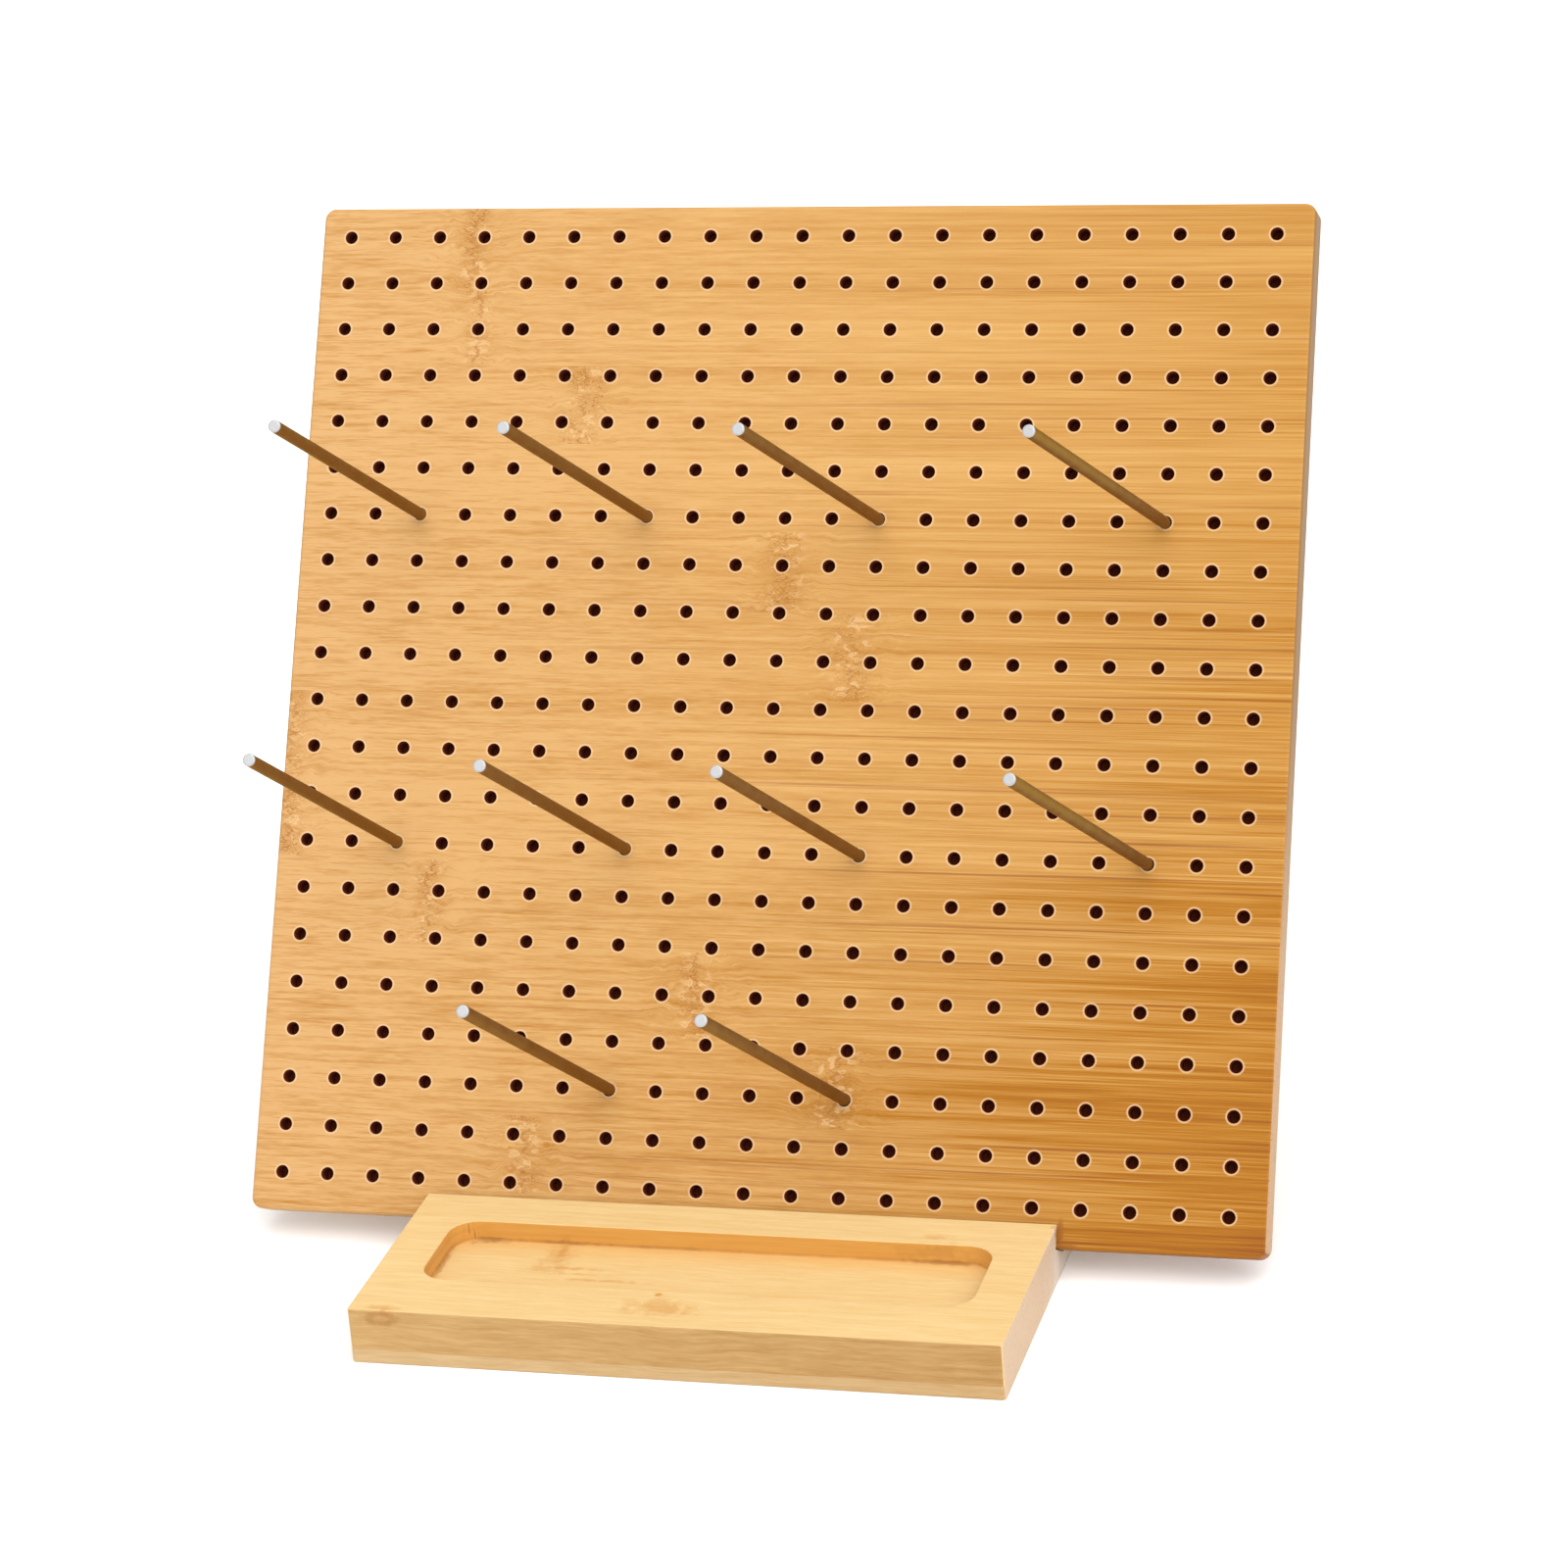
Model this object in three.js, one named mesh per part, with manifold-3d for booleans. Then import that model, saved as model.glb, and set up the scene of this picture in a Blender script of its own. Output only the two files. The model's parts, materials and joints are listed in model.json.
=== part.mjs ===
import * as THREE from 'three';
import Module from 'manifold-3d';
import { mergeGeometries, mergeVertices } from 'three/addons/utils/BufferGeometryUtils.js';

// Blocking board for knitted and crocheted squares.
// A drilled bamboo board leans back in the slot of a bamboo base, and steel pins stand in its holes.
// Millimetres. The origin is the middle of the base's underside, +X right, +Y back, +Z up.

// Pins
const PIN_LENGTH = 150;
const PIN_DIAMETER = 3.5;
const PIN_CHAMFER = 0.4;
const PIN_SIDES = 12;
// Room around a pin in its hole, and under its inner end
const PIN_CLEARANCE = 0.2;
const PIN_END_ROOM = 0.3;
// The pins stand loosely and lean towards the middle of the grid. The one furthest out
// takes up this share of its play, and the others less, by their distance.
const PIN_PLAY_SHARE = 0.9;

// Board
const BOARD_WIDTH = 300;
const BOARD_HEIGHT = 300;
const BOARD_THICKNESS = 10;
const BOARD_CORNER_RADIUS = 3.3;
const BOARD_EDGE_CHAMFER = 1;
const BOARD_LEAN_DEGREES = 30;
// How far right of the base's middle the board stands in its open-ended slot
const BOARD_SHIFT = 2.2;

// Grid of blind holes
const HOLE_PITCH = 14;
// From the board's edge to the middle of the outermost holes, at least, if the grid were centred
const HOLE_MARGIN = 10;
// The grid is drilled this far to the left of the board's middle, and above it
const GRID_LEFT = 1;
const GRID_UP = 1;
// Wood left behind the point of each drilled hole, and the angle of that point
const HOLE_FLOOR = 3;
const DRILL_POINT_DEGREES = 118;
const HOLE_SIDES = 6;

// Base: two plies glued together, with a slot for the board and a tray for the pins
const BASE_CORNER_RADIUS = 1.2;
const BASE_EDGE_CHAMFER = 0.4;
const LOWER_PLY_THICKNESS = 4.1;
// Depth of the slot along the board's front face. The board leans on the slot's back wall,
// with a little room there and under it, and more in front.
const SLOT_DEPTH = 7.3;
const SLOT_CLEARANCE = 0.3;
const SLOT_FRONT_ROOM = 1.2;
// Wood of the upper ply left under the slot's lowest corner
const SLOT_WEB = 0.6;
const TRAY_WIDTH = 36;
const TRAY_DEPTH = 6;
const TRAY_CORNER_RADIUS = 8;
// The tray is this much longer than a pin
const TRAY_END_ROOM = 8.5;
// Strips of base around the tray, and behind the slot
const SIDE_RAIL = 13.75;
const FRONT_RAIL = 20.5;
const SLOT_RAIL = 15.2;
const REAR_FOOT = 77;

// Smoothness of a quarter turn, and how far a cutter reaches past the face that it enters
const ARC_STEPS = 6;
const CUT_OVERRUN = 2;

// Where the pins stand: for each row, as a share of the grid's height from its top,
// the columns, as shares of its width from the left. Each goes to the nearest hole.
const PIN_ROWS = [
  { row: 0.3, columns: [0.1, 0.35, 0.6, 0.9] },
  { row: 0.65, columns: [0.1, 0.35, 0.6, 0.9] },
  { row: 0.9, columns: [0.35, 0.6] },
];

// Sizes that follow from the ones above
const lean = THREE.MathUtils.degToRad(BOARD_LEAN_DEGREES);
const holeRadius = (PIN_DIAMETER / 2 + PIN_CLEARANCE) / Math.cos(Math.PI / HOLE_SIDES);
const holePoint = holeRadius / Math.tan(THREE.MathUtils.degToRad(DRILL_POINT_DEGREES / 2));
const holeDepth = BOARD_THICKNESS - HOLE_FLOOR - holePoint;
const holeColumns = Math.floor((BOARD_WIDTH - 2 * HOLE_MARGIN) / HOLE_PITCH) + 1;
const holeRows = Math.floor((BOARD_HEIGHT - 2 * HOLE_MARGIN) / HOLE_PITCH) + 1;
const boardMiddle = BOARD_HEIGHT / 2 - SLOT_DEPTH;
const pinGrip = holeDepth - PIN_END_ROOM;
const pinHoles = PIN_ROWS.flatMap(({ row, columns }) => columns.map((column) => {
  return holeOffset(Math.round(column * (holeColumns - 1)), Math.round(row * (holeRows - 1)));
}));
const furthestPin = Math.max(...pinHoles.map(({ right, up }) => Math.hypot(right, up)));
const pinSlope = PIN_PLAY_SHARE * (2 * PIN_CLEARANCE / pinGrip) / furthestPin;
const slotFloor = SLOT_DEPTH + SLOT_CLEARANCE;
const slotBack = BOARD_THICKNESS + SLOT_CLEARANCE;
const slotLowest = slotFloor * Math.cos(lean) + slotBack * Math.sin(lean);
const upperPlyThickness = slotLowest + SLOT_WEB;
const baseThickness = LOWER_PLY_THICKNESS + upperPlyThickness;
const trayLength = PIN_LENGTH + TRAY_END_ROOM;
const baseWidth = trayLength + 2 * SIDE_RAIL;
const slotSetback = FRONT_RAIL + TRAY_WIDTH + SLOT_RAIL + SLOT_FRONT_ROOM / Math.cos(lean);
const baseDepth = slotSetback + REAR_FOOT;
const baseFront = -baseDepth / 2;

const wasm = await Module();
wasm.setup();

// A closed three.js geometry as a solid that can be cut
function solid(geometry) {
  const bare = geometry.clone();
  bare.deleteAttribute('normal');
  bare.deleteAttribute('uv');
  const merged = mergeVertices(bare, 1e-4);
  const vertProperties = new Float32Array(merged.attributes.position.array);
  const triVerts = new Uint32Array(merged.index.array);
  return new wasm.Manifold(new wasm.Mesh({ numProp: 3, vertProperties, triVerts }));
}

// A cut solid back as a geometry with flat faces
function faceted(cut) {
  const { vertProperties, triVerts } = cut.getMesh();
  const geometry = new THREE.BufferGeometry();
  geometry.setAttribute('position', new THREE.BufferAttribute(vertProperties, 3));
  geometry.setIndex(new THREE.BufferAttribute(triVerts, 1));
  const flat = geometry.toNonIndexed();
  flat.computeVertexNormals();
  return flat;
}

// Outline of a rectangle with round corners, centred on the origin
function roundedRectangle(width, height, radius) {
  const x = width / 2 - radius;
  const y = height / 2 - radius;
  const quarter = Math.PI / 2;
  const shape = new THREE.Shape();
  shape.moveTo(x + radius, -y);
  shape.lineTo(x + radius, y);
  shape.absarc(x, y, radius, 0, quarter, false);
  shape.absarc(-x, y, radius, quarter, 2 * quarter, false);
  shape.absarc(-x, -y, radius, 2 * quarter, 3 * quarter, false);
  shape.absarc(x, -y, radius, 3 * quarter, 4 * quarter, false);
  return shape;
}

// A slab of that outline from z = 0 up, its edges above and below eased by a chamfer
function slab(width, height, radius, thickness, chamfer) {
  const geometry = new THREE.ExtrudeGeometry(roundedRectangle(width, height, radius), {
    depth: thickness - 2 * chamfer,
    curveSegments: ARC_STEPS,
    bevelEnabled: chamfer > 0,
    bevelThickness: chamfer,
    bevelSize: chamfer,
    bevelOffset: -chamfer,
    bevelSegments: 1,
  });
  return geometry.translate(0, 0, chamfer);
}

// Middle of a hole on the board's front face, counted from the top left,
// as its distances right of the grid's middle and above it
function holeOffset(column, row) {
  const right = (column - (holeColumns - 1) / 2) * HOLE_PITCH;
  const up = ((holeRows - 1) / 2 - row) * HOLE_PITCH;
  return { right, up };
}

// Pin board, in its own frame: the front face is y = 0, and z = 0 is level with
// the top of the base where that face meets it, so the board reaches SLOT_DEPTH below
function pinBoardGeometry() {
  const panel = slab(BOARD_WIDTH, BOARD_HEIGHT, BOARD_CORNER_RADIUS, BOARD_THICKNESS, BOARD_EDGE_CHAMFER);
  panel.rotateX(Math.PI / 2);
  panel.translate(0, BOARD_THICKNESS, boardMiddle);
  const profile = [
    new THREE.Vector2(0, -CUT_OVERRUN),
    new THREE.Vector2(holeRadius, -CUT_OVERRUN),
    new THREE.Vector2(holeRadius, holeDepth),
    new THREE.Vector2(0, holeDepth + holePoint),
  ];
  const drills = [];
  for (let row = 0; row < holeRows; row += 1) {
    for (let column = 0; column < holeColumns; column += 1) {
      const { right, up } = holeOffset(column, row);
      drills.push(new THREE.LatheGeometry(profile, HOLE_SIDES).translate(right, 0, up));
    }
  }
  const grid = mergeGeometries(drills).translate(-GRID_LEFT, 0, boardMiddle + GRID_UP);
  return faceted(solid(panel).subtract(solid(grid)));
}

// Pin: a plain steel rod along y, its outer end towards -y, both ends chamfered.
// Its origin is on its axis, halfway along the stretch that stands in the hole.
function pinGeometry() {
  const radius = PIN_DIAMETER / 2;
  const profile = [
    new THREE.Vector2(0, 0),
    new THREE.Vector2(radius - PIN_CHAMFER, 0),
    new THREE.Vector2(radius, PIN_CHAMFER),
    new THREE.Vector2(radius, PIN_LENGTH - PIN_CHAMFER),
    new THREE.Vector2(radius - PIN_CHAMFER, PIN_LENGTH),
    new THREE.Vector2(0, PIN_LENGTH),
  ];
  const rod = new THREE.LatheGeometry(profile, PIN_SIDES);
  return rod.translate(0, pinGrip / 2 - PIN_LENGTH, 0);
}

// Both plies of the base before they are parted at the glue line
function baseBlank() {
  return solid(slab(baseWidth, baseDepth, BASE_CORNER_RADIUS, baseThickness, BASE_EDGE_CHAMFER));
}

// A block wider and deeper than the base, between two heights
function acrossBase(bottom, top) {
  const width = baseWidth + 2 * CUT_OVERRUN;
  const depth = baseDepth + 2 * CUT_OVERRUN;
  const block = new THREE.BoxGeometry(width, depth, top - bottom);
  return solid(block.translate(0, 0, (bottom + top) / 2));
}

// Routed tray for the loose pins, with round corners and a flat floor
function trayCutter() {
  const height = TRAY_DEPTH + CUT_OVERRUN;
  const cutter = slab(trayLength, TRAY_WIDTH, TRAY_CORNER_RADIUS, height, 0);
  const middle = baseFront + FRONT_RAIL + TRAY_WIDTH / 2;
  return solid(cutter.translate(0, middle, baseThickness - TRAY_DEPTH));
}

// Leaning slot, open at both ends
function slotCutter() {
  const length = baseWidth + 2 * CUT_OVERRUN;
  const width = slotBack + SLOT_FRONT_ROOM;
  const above = slotBack * Math.tan(lean) + CUT_OVERRUN;
  const cutter = new THREE.BoxGeometry(length, width, slotFloor + above);
  cutter.translate(0, width / 2 - SLOT_FRONT_ROOM, (above - slotFloor) / 2);
  cutter.rotateX(-lean);
  return solid(cutter.translate(0, baseFront + slotSetback, baseThickness));
}

function upperPlyGeometry() {
  const ply = baseBlank().subtract(acrossBase(-CUT_OVERRUN, LOWER_PLY_THICKNESS));
  return faceted(ply.subtract(trayCutter()).subtract(slotCutter()));
}

function lowerPlyGeometry() {
  const above = baseThickness + CUT_OVERRUN;
  return faceted(baseBlank().subtract(acrossBase(LOWER_PLY_THICKNESS, above)));
}

// One named sub-part with a material of its own
function part(name, geometry, color, roughness, metalness) {
  const material = new THREE.MeshStandardMaterial({ color, roughness, metalness });
  const mesh = new THREE.Mesh(geometry, material);
  mesh.name = name;
  return mesh;
}

const blockingBoard = new THREE.Group();
blockingBoard.add(part('base_lower_ply', lowerPlyGeometry(), 0xe1bb83, 0.5, 0));
blockingBoard.add(part('base_upper_ply', upperPlyGeometry(), 0xf3cf88, 0.5, 0));

// The board and its pins lean together
const leaning = new THREE.Group();
leaning.position.set(BOARD_SHIFT, baseFront + slotSetback, baseThickness);
leaning.rotation.x = -lean;
leaning.add(part('pin_board', pinBoardGeometry(), 0xdca05a, 0.45, 0));

const outwards = new THREE.Vector3(0, -1, 0);
for (const [index, { right, up }] of pinHoles.entries()) {
  const number = String(index + 1).padStart(2, '0');
  const pin = part(`pin_${number}`, pinGeometry(), 0xc8cacc, 0.15, 1);
  pin.position.set(right - GRID_LEFT, pinGrip / 2, boardMiddle + GRID_UP + up);
  const aim = new THREE.Vector3(-pinSlope * right, -1, -pinSlope * up).normalize();
  pin.quaternion.setFromUnitVectors(outwards, aim);
  leaning.add(pin);
}
blockingBoard.add(leaning);

export default blockingBoard;
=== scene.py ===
import json
import math
import bmesh
import bpy
from mathutils import Matrix, Vector


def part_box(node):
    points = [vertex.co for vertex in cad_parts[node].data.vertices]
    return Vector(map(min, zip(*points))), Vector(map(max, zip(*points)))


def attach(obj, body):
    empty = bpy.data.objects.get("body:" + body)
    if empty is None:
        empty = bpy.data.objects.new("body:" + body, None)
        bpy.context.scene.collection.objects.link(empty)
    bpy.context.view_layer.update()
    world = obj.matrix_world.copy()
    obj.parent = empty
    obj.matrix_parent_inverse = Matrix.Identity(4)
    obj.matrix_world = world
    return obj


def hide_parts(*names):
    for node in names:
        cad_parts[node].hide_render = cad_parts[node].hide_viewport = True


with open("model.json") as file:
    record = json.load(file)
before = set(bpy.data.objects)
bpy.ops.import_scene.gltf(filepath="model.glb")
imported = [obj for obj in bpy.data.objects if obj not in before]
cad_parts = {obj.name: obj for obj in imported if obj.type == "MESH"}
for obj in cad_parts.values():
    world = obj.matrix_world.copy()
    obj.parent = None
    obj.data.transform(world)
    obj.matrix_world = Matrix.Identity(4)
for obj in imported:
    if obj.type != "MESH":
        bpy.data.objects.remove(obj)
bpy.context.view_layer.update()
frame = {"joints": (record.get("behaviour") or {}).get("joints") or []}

# The camera
# A long lens to the right of the object and above it, tipped a few degrees, so that the drilled
# face, the tray and the right end of the base all show.
CAMERA_PLACE = (0.3750, -1.2009, 0.6379)
CAMERA_HEADING = math.radians(16.333)
CAMERA_DOWNWARD = math.radians(21.454)
CAMERA_TIP = math.radians(-4.627)
CAMERA_LENS = 112.5
CAMERA_SENSOR = 36.0
camera = bpy.data.objects.new("camera", bpy.data.cameras.new("camera"))
camera.data.lens = CAMERA_LENS
camera.data.sensor_width = CAMERA_SENSOR
camera_turn = (
    Matrix.Rotation(CAMERA_HEADING, 4, "Z")
    @ Matrix.Rotation(math.radians(90) - CAMERA_DOWNWARD, 4, "X")
    @ Matrix.Rotation(CAMERA_TIP, 4, "Z")
)
camera.matrix_world = Matrix.Translation(CAMERA_PLACE) @ camera_turn
bpy.context.collection.objects.link(camera)
bpy.context.scene.camera = camera

# The studio
# A white sweep of paper in a white room, under one very broad light above the viewer and a little
# to the right, so that the shadows are faint and soft.
FLOOR_WIDTH = 16.0
FLOOR_COLOUR = (0.93, 0.93, 0.93, 1)
FLOOR_ROUGHNESS = 0.9
ROOM_LIGHT = 0.91
OVERHEAD_POWER = 2.5
OVERHEAD_SPREAD = math.radians(75)
OVERHEAD_FROM = Vector((0.30, -0.45, 0.84))
bpy.context.scene.view_settings.view_transform = "Standard"
world = bpy.data.worlds.new("studio")
world.use_nodes = True
world.node_tree.nodes["Background"].inputs["Color"].default_value = (1, 1, 1, 1)
world.node_tree.nodes["Background"].inputs["Strength"].default_value = ROOM_LIGHT
bpy.context.scene.world = world
overhead = bpy.data.objects.new("overhead", bpy.data.lights.new("overhead", "SUN"))
overhead.data.energy = OVERHEAD_POWER
overhead.data.angle = OVERHEAD_SPREAD
overhead.rotation_euler = OVERHEAD_FROM.to_track_quat("Z", "Y").to_euler()
bpy.context.collection.objects.link(overhead)

bpy.ops.mesh.primitive_plane_add(size=FLOOR_WIDTH, location=(0, 0, 0))
floor = bpy.context.object
floor.name = "floor"
floor_paper = bpy.data.materials.new("floor_paper")
floor_paper.use_nodes = True
floor_shader = floor_paper.node_tree.nodes["Principled BSDF"]
floor_shader.inputs["Base Color"].default_value = FLOOR_COLOUR
floor_shader.inputs["Roughness"].default_value = FLOOR_ROUGHNESS
floor.data.materials.append(floor_paper)

# The pin board
# One flat-pressed bamboo panel, sanded and oiled, with its four corners and its arrises rounded.
# A 21 by 21 grid of blind holes is drilled into the face with a scorching drill, which leaves the
# bores dark and a thin pale rim round each mouth.
BOARD_LEAN = math.atan2(*Vector(frame["joints"][0]["axis"]).yz)
BOARD_WIDTH = 0.300
BOARD_HEIGHT = 0.300
BOARD_THICKNESS = 0.010
BOARD_CORNER_RADIUS = 0.0033
BOARD_ARRIS_RADIUS = 0.0010
GRID_COUNT = 21
GRID_PITCH = 0.014
GRID_PLACE = (-0.001, -BOARD_THICKNESS / 2, 0.001)
HOLE_RADIUS = 0.00184
HOLE_DEPTH = 0.0056
HOLE_POINT_DEPTH = 0.0012
HOLE_MOUTH_ROUNDING = 0.0001
HOLE_SIDES = 20
DRILL_TIP_RADIUS = 0.00005
FIBRE_RISE = 0.0003
CREASE_SINK = -0.8
BOARD_CORNER_STEPS = 8
BOARD_ARRIS_STEPS = 4
RIM_WIDTH = 0.00046
RIM_SOFTNESS = 0.0002
RIM_STRENGTH = 0.58
# Where one finish gives way to another: below the face, or past the start of an end's arris
BOARD_TURN = (0.0004, 0.0008)
BOARD_PALE = (0.545, 0.312, 0.121, 1)
BOARD_GOLD = (0.545, 0.302, 0.082, 1)
BOARD_DEEP = (0.344, 0.129, 0.001, 1)
BOARD_STREAK = (0.278, 0.091, 0.008, 1)
BOARD_VEIN = (0.180, 0.028, 0.001, 1)
BOARD_FLECK = (0.629, 0.395, 0.176, 1)
BOARD_END_LOW = (0.466, 0.284, 0.152, 1)
BOARD_END_HIGH = (0.255, 0.132, 0.043, 1)
RIM_COLOUR = (0.673, 0.483, 0.278, 1)
BORE_COLOUR = (0.116, 0.016, 0.003, 1)
BORE_CHAR = (0.184, 0.026, 0.004, 1)
CHAR_SCALE = 900.0
# How far down the board its ends turn from the one colour to the other
BOARD_END_FADE = (0.45, 0.80)
# The strips of the panel from the top down: the height of each, how far right of the board's
# middle its stalk ring lies, or None where the strip has no ring, and the ring's half breadth.
STRIPS = [
    (0.0240, -0.1020, 0.0042),
    (0.0232, -0.0990, 0.0040),
    (0.0238, -0.0648, 0.0064),
    (0.0260, None, 0.0040),
    (0.0235, -0.0005, 0.0060),
    (0.0250, 0.0212, 0.0064),
    (0.0250, -0.1490, 0.0050),
    (0.0250, -0.1470, 0.0050),
    (0.0245, -0.1023, 0.0042),
    (0.0255, -0.0190, 0.0050),
    (0.0235, 0.0243, 0.0064),
    (0.0225, -0.0680, 0.0052),
    (0.0085, None, 0.0040),
]
# A ring's place goes through a colour ramp as a share of this width, with a half for the middle.
# Where a strip has no ring, it lies at the width's end, far off the board.
RING_SPAN = 1.0
# How deep the wood's tone is at the upper left, and what is added to the right, further down (by
# the height and by its square) and in the lower right corner. The grain's contrast and its
# straightness grow in like ways.
TONE_START = 0.20
TONE_RIGHT = 0.30
TONE_DOWN = (-0.30, 0.24)
TONE_CORNER = 0.94
CONTRAST_START = 1.06
CONTRAST_CORNER = 1.2
STRAIGHTNESS_START = 0.18
STRAIGHTNESS_RIGHT = 1.0
# Painted shadow in brown on the face beside the base's right end: where each patch lies on the
# board, how far it reaches each way, and how strong it is.
BOARD_PAINTED_SHADOWS = [
    ((0.0915, -0.0050, -0.1455), (0.0011, 0.0020, 0.0040), 0.80),
    ((0.0935, -0.0050, -0.1495), (0.0035, 0.0020, 0.0012), 0.70),
]
BOARD_SHADOW_EDGES = (1.3, 0.5)


def plug(tree, socket, value):
    """Sets an input to a value, or joins it to another socket."""
    if isinstance(value, bpy.types.NodeSocket):
        tree.links.new(value, socket)
    else:
        socket.default_value = value


def add_node(tree, kind, inputs=None, **settings):
    """A node with its settings, and with its inputs set to values or joined to other sockets."""
    node = tree.nodes.new(kind)
    for name, value in settings.items():
        setattr(node, name, value)
    for name, value in (inputs or {}).items():
        plug(tree, node.inputs[name], value)
    return node


def new_group(name, kind, inputs, outputs):
    """An empty node group with named sockets: the tree, its input sockets, its output node."""
    tree = bpy.data.node_groups.new(name, kind)
    for direction, sockets in (("INPUT", inputs), ("OUTPUT", outputs)):
        for socket_name, socket_type, value in sockets:
            socket = tree.interface.new_socket(
                socket_name, in_out=direction, socket_type="NodeSocket" + socket_type
            )
            if value is not None:
                socket.default_value = value
    start = tree.nodes.new("NodeGroupInput")
    end = tree.nodes.new("NodeGroupOutput")
    return tree, start.outputs, end


def finish_group(tree, end, **results):
    """Joins the results to the group's outputs of the same names."""
    for name, socket in results.items():
        tree.links.new(socket, end.inputs[name.replace("_", " ")])


def calculate(tree, operation, *values, clamp=False):
    """A Math node's result."""
    inputs = dict(enumerate(values))
    return add_node(tree, "ShaderNodeMath", inputs, operation=operation, use_clamp=clamp).outputs[0]


def ramp_between(tree, value, start, end, low=0.0, high=1.0):
    """A value that goes smoothly from low to high as another goes from start to end."""
    inputs = {"Value": value, "From Min": start, "From Max": end, "To Min": low, "To Max": high}
    node = add_node(tree, "ShaderNodeMapRange", inputs, interpolation_type="SMOOTHSTEP")
    return node.outputs["Result"]


def stretched_noise(tree, place, steps, detail=3.0, roughness=0.55):
    """Noise at a place's X, Y and Z: steps are how many of its features one unit holds each way."""
    vector = add_node(tree, "ShaderNodeCombineXYZ", {
        axis: calculate(tree, "MULTIPLY", position, step)
        for axis, position, step in zip("XYZ", place, steps)
    })
    noise = add_node(tree, "ShaderNodeTexNoise", {
        "Vector": vector.outputs[0],
        "Scale": 1.0,
        "Detail": detail,
        "Roughness": roughness,
    })
    return noise.outputs["Fac"]


def swing(tree, noise, width):
    """Noise moved to swing about nought, over the given width in all."""
    return calculate(tree, "MULTIPLY_ADD", noise, width, -width / 2)


def mix_colours(tree, share, first, second):
    """Two colours mixed by a share."""
    node = add_node(tree, "ShaderNodeMix", {0: share, 6: first, 7: second}, data_type="RGBA")
    return node.outputs[2]


def use_group(tree, group, inputs):
    """A node group placed in a material's tree with its own values: its output sockets."""
    return add_node(tree, "ShaderNodeGroup", inputs, node_tree=group).outputs


MILLIMETRES = 1000.0


def in_millimetres(tree, place):
    """A place's X, Y and Z, from metres to millimetres."""
    scaled = add_node(tree, "ShaderNodeVectorMath", {0: place, "Scale": MILLIMETRES},
                      operation="SCALE")
    return add_node(tree, "ShaderNodeSeparateXYZ", {0: scaled.outputs[0]}).outputs


# The grain of pressed bamboo: fibres along X, strips stacked along Z. Broad bands and fine
# streaks lie over each other, short and broken or long and straight, with a few dark veins, and
# each strip starts the pattern at another place. Steps are features per millimetre along the
# fibres, through the wood and across the strips, and swings are what they add to the shade. Here
# and below, a mark grows from nothing to its full strength between its two levels of the noise,
# and fades out between its two edges.
BAND_STEPS = (0.0035, 0.06, 0.10)
BAND_SWING = 0.55
BROKEN_STEPS = (0.044, 0.2, 0.72)
BROKEN_SWING = 3.2
STRAIGHT_STEPS = (0.008, 0.2, 0.82)
STRAIGHT_SWING = 1.6
STREAK_ROUGHNESS = 0.85
STRIP_SHIFT = 731.0
STRIP_SWING = 0.12
VEIN_STEPS = (0.006, 0.5, 0.9)
VEIN_LEVELS = (0.60, 0.74)
VEIN_STRENGTH = 0.30
DEEPEST_SHARE = (0.9, -0.85)
grain, grain_in, grain_end = new_group(
    "bamboo_grain",
    "ShaderNodeTree",
    [
        ("Place", "Vector", None),
        ("Strip", "Float", 0.0),
        ("Wander", "Float", 0.0),
        ("Depth", "Float", 0.3),
        ("Contrast", "Float", 1.0),
        ("Straightness", "Float", 0.5),
        ("Pale", "Color", None),
        ("Deep", "Color", None),
        ("Vein", "Color", None),
    ],
    [("Color", "Color", None), ("Height", "Float", None)],
)
axes = in_millimetres(grain, grain_in["Place"])
strip_random = add_node(grain, "ShaderNodeTexWhiteNoise", {"W": grain_in["Strip"]},
                        noise_dimensions="1D").outputs["Value"]
fibre_place = (
    calculate(grain, "MULTIPLY_ADD", strip_random, STRIP_SHIFT, axes["X"]),
    axes["Y"],
    calculate(grain, "ADD", axes["Z"], grain_in["Wander"]),
)
band = stretched_noise(grain, fibre_place, BAND_STEPS, detail=2.0)
broken = stretched_noise(grain, fibre_place, BROKEN_STEPS, roughness=STREAK_ROUGHNESS)
straight = stretched_noise(grain, fibre_place, STRAIGHT_STEPS, roughness=STREAK_ROUGHNESS)
streak = add_node(grain, "ShaderNodeMix", {
    0: grain_in["Straightness"],
    2: swing(grain, broken, BROKEN_SWING),
    3: swing(grain, straight, STRAIGHT_SWING),
}, data_type="FLOAT").outputs[0]
shade = calculate(grain, "ADD", swing(grain, band, BAND_SWING), streak)
shade = calculate(grain, "ADD", swing(grain, strip_random, STRIP_SWING), shade)
depth = calculate(grain, "MULTIPLY_ADD", shade, grain_in["Contrast"], grain_in["Depth"])
colour = mix_colours(grain, depth, grain_in["Pale"], grain_in["Deep"])
# The deepest streaks turn towards the veins' colour.
deepest = calculate(grain, "MULTIPLY_ADD", depth, *DEEPEST_SHARE, clamp=True)
colour = mix_colours(grain, deepest, colour, grain_in["Vein"])
vein = stretched_noise(grain, fibre_place, VEIN_STEPS, detail=2.0)
vein = calculate(grain, "MULTIPLY", ramp_between(grain, vein, *VEIN_LEVELS, 0.0, VEIN_STRENGTH),
                 calculate(grain, "MULTIPLY", grain_in["Contrast"], grain_in["Straightness"]))
colour = mix_colours(grain, vein, colour, grain_in["Vein"])
finish_group(grain, grain_end, Color=colour, Height=streak)

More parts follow.
